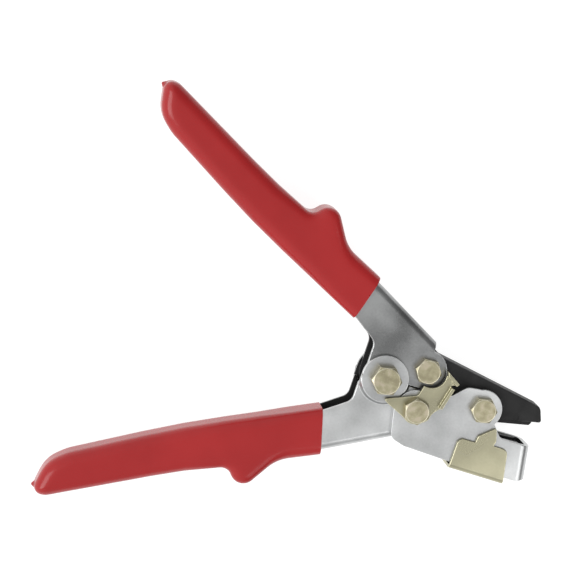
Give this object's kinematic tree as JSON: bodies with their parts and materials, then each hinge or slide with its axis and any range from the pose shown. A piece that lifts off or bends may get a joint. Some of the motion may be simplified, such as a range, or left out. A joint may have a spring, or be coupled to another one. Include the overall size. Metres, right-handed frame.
{
  "type": "snap-lock hand punch",
  "caption": "Compound-action hand punch for sheet siding: spring-opened handles with red grips drive a black upper jaw into a folded lower jaw with a stop plate and latch.",
  "frame": {"origin": "centre of the bounding box in X and Y, at the lowest point in Z, the end of the handle pivot bolt", "axes": "+X along the line from the handle pivot to the jaw pivot, towards the jaws; +Y towards the upper handle; +Z along the pivot bolts, towards their heads. The tool lies on its back with its jaws open."},
  "size_m": [0.2207, 0.201, 0.033],
  "materials": {
    "zinc_bright": "bright zinc plate on stamped sheet",
    "zinc_yellow": "yellow zinc plate on bolts and nuts",
    "zinc_gold_sheet": "yellow zinc plate on sheet",
    "black_oxide": "matte black oxide",
    "grip_vinyl": "glossy red vinyl",
    "nylon": "natural nylon",
    "steel_bare": "turned steel",
    "spring_steel": "drawn spring steel"
  },
  "bodies": {
    "lower_handle": {"lower_handle": "zinc_bright", "lower_grip": "grip_vinyl", "handle_pivot_bolt": "zinc_yellow", "handle_pivot_nut": "zinc_yellow", "handle_pivot_nylon": "nylon", "handle_pivot_bushing": "steel_bare", "opening_spring": "spring_steel", "lower_link_spacer": "steel_bare"},
    "upper_handle": {"upper_handle": "zinc_bright", "upper_grip": "grip_vinyl", "upper_link_bolt": "zinc_yellow", "upper_link_nut": "zinc_yellow", "upper_link_nylon": "nylon"},
    "lower_jaw": {"lower_jaw": "zinc_bright", "die_block": "black_oxide", "die_pin_throat": "steel_bare", "die_pin_nose": "steel_bare", "stop_plate": "zinc_gold_sheet", "stop_screw": "zinc_yellow", "lower_link_bolt": "zinc_yellow", "lower_link_nut": "zinc_yellow", "lower_link_nylon": "nylon", "jaw_pivot_bolt": "zinc_yellow", "jaw_pivot_nut": "zinc_yellow", "jaw_pivot_nylon": "nylon", "jaw_spacer_front": "steel_bare", "jaw_spacer_back": "steel_bare", "latch_washer": "spring_steel"},
    "upper_jaw": {"upper_jaw": "black_oxide", "punch_blade": "black_oxide", "punch_pin": "black_oxide"},
    "latch": {"latch": "zinc_gold_sheet"}
  },
  "joints": [
    {"name": "handle_pivot", "type": "hinge", "parent": "lower_handle", "child": "upper_handle", "pos_m": [0.0306, 0, 0.0164], "axis": [0, 0, 1], "range_deg": [0, 38], "stiffness_Nm_per_rad": 0.82, "springref_deg": -60.16, "deforming": ["opening_spring"]},
    {"name": "lower_jaw_pivot", "type": "hinge", "parent": "lower_handle", "child": "lower_jaw", "pos_m": [0.0487, -0.0094, 0.0164], "axis": [0, 0, 1], "range_deg": [0, 29.6]},
    {"name": "jaw_pivot", "type": "hinge", "parent": "lower_jaw", "child": "upper_jaw", "pos_m": [0.0794, 0, 0.0164], "axis": [0, 0, 1], "range_deg": [-21.2, 0]},
    {"name": "latch_pivot", "type": "hinge", "parent": "lower_jaw", "child": "latch", "pos_m": [0.0487, -0.0094, 0.0164], "axis": [0, 0, 1], "range_deg": [-5, 6]}
  ],
  "couplings": [
    {"joint": "lower_jaw_pivot", "follows": "handle_pivot", "ratio": 0.7775},
    {"joint": "jaw_pivot", "follows": "handle_pivot", "ratio": -0.555}
  ]
}
